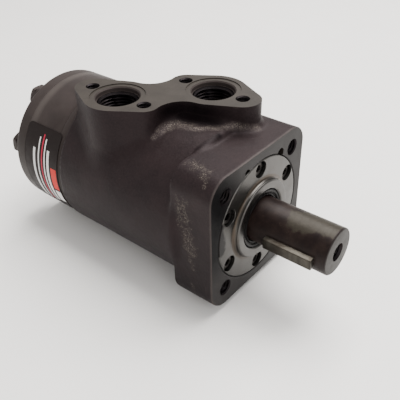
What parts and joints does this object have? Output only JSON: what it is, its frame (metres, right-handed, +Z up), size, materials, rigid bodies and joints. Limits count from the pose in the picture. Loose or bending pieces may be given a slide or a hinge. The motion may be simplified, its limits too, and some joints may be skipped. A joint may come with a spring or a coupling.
{
  "type": "orbital hydraulic motor",
  "caption": "Compact orbital hydraulic motor: cast body with two top ports, square flange with round pilot, keyed output shaft, and a gear set clamped under a rear cover by hexagon bolts.",
  "frame": {"origin": "centre of the bounding box's bottom, under the barrel", "axes": "+X out along the output shaft, +Z up to the port face, +Y completes the right hand; the drain plug looks along +Y and the key along -Y"},
  "size_m": [0.2044, 0.088, 0.0985],
  "materials": {
    "housing_paint": "dark brown-black satin paint over sand-cast iron, rough skin, scuffed corners",
    "rear_paint": "dark brown-black satin paint over turned steel",
    "bolt_steel": "hexagon heads painted over with the casting",
    "screw_steel": "black oxide, lightly oiled",
    "cover_steel": "bright turned face",
    "shaft_steel": "ground steel under dark preserving oil",
    "key_steel": "drawn bar, dull",
    "hardened_steel": "hardened and ground",
    "bronze": "pressed sheet",
    "seal_rubber": "black, oiled",
    "label_film": "printed film, unlettered colour bands"
  },
  "bodies": {
    "motor_body": {"housing": "housing_paint", "front_cover": "cover_steel", "cover_screw_1": "screw_steel", "cover_screw_2": "screw_steel", "cover_screw_3": "screw_steel", "cover_screw_4": "screw_steel", "cover_screw_5": "screw_steel", "cover_screw_6": "screw_steel", "cover_o_ring": "seal_rubber", "dust_seal": "seal_rubber", "shaft_seal": "seal_rubber", "thrust_race_front": "hardened_steel", "channel_plate": "rear_paint", "gerotor_ring": "rear_paint", "end_cover": "rear_paint", "rear_bolt_1": "bolt_steel", "rear_bolt_2": "bolt_steel", "rear_bolt_3": "bolt_steel", "rear_bolt_4": "bolt_steel", "rear_bolt_5": "bolt_steel", "rear_bolt_6": "bolt_steel", "rear_bolt_7": "bolt_steel", "bolt_washer_1": "bolt_steel", "bolt_washer_2": "bolt_steel", "bolt_washer_3": "bolt_steel", "bolt_washer_4": "bolt_steel", "bolt_washer_5": "bolt_steel", "bolt_washer_6": "bolt_steel", "bolt_washer_7": "bolt_steel", "housing_seal": "seal_rubber", "plate_seal": "seal_rubber", "end_cover_seal": "seal_rubber", "drain_plug": "screw_steel", "drain_washer": "bronze", "label": "label_film"},
    "shaft": {"output_shaft": "shaft_steel", "shaft_key": "key_steel", "thrust_race_rear": "hardened_steel"},
    "cage": {"needle_cage": "bronze"},
    "carrier": {"link_spacer": "hardened_steel"},
    "rotor": {"rotor": "hardened_steel"},
    "link": {"drive_link": "hardened_steel"}
  },
  "joints": [
    {"name": "shaft_spin", "type": "hinge", "parent": "motor_body", "child": "shaft", "pos_m": [0, 0, 0.044], "axis": [1, 0, 0], "continuous": true},
    {"name": "cage_spin", "type": "hinge", "parent": "motor_body", "child": "cage", "pos_m": [0, 0, 0.044], "axis": [1, 0, 0], "continuous": true},
    {"name": "orbit", "type": "hinge", "parent": "motor_body", "child": "carrier", "pos_m": [0, 0, 0.044], "axis": [1, 0, 0], "continuous": true},
    {"name": "rotor_spin", "type": "hinge", "parent": "carrier", "child": "rotor", "pos_m": [-0.073, 0.0026, 0.044], "axis": [1, 0, 0], "continuous": true},
    {"name": "link_spin", "type": "hinge", "parent": "carrier", "child": "link", "pos_m": [-0.01285, 0, 0.044], "axis": [0.9989, -0.0464, 0], "continuous": true}
  ],
  "couplings": [
    {"joint": "cage_spin", "follows": "shaft_spin", "ratio": 0.5},
    {"joint": "orbit", "follows": "shaft_spin", "ratio": -6},
    {"joint": "rotor_spin", "follows": "shaft_spin", "ratio": 7},
    {"joint": "link_spin", "follows": "shaft_spin", "ratio": 7}
  ]
}
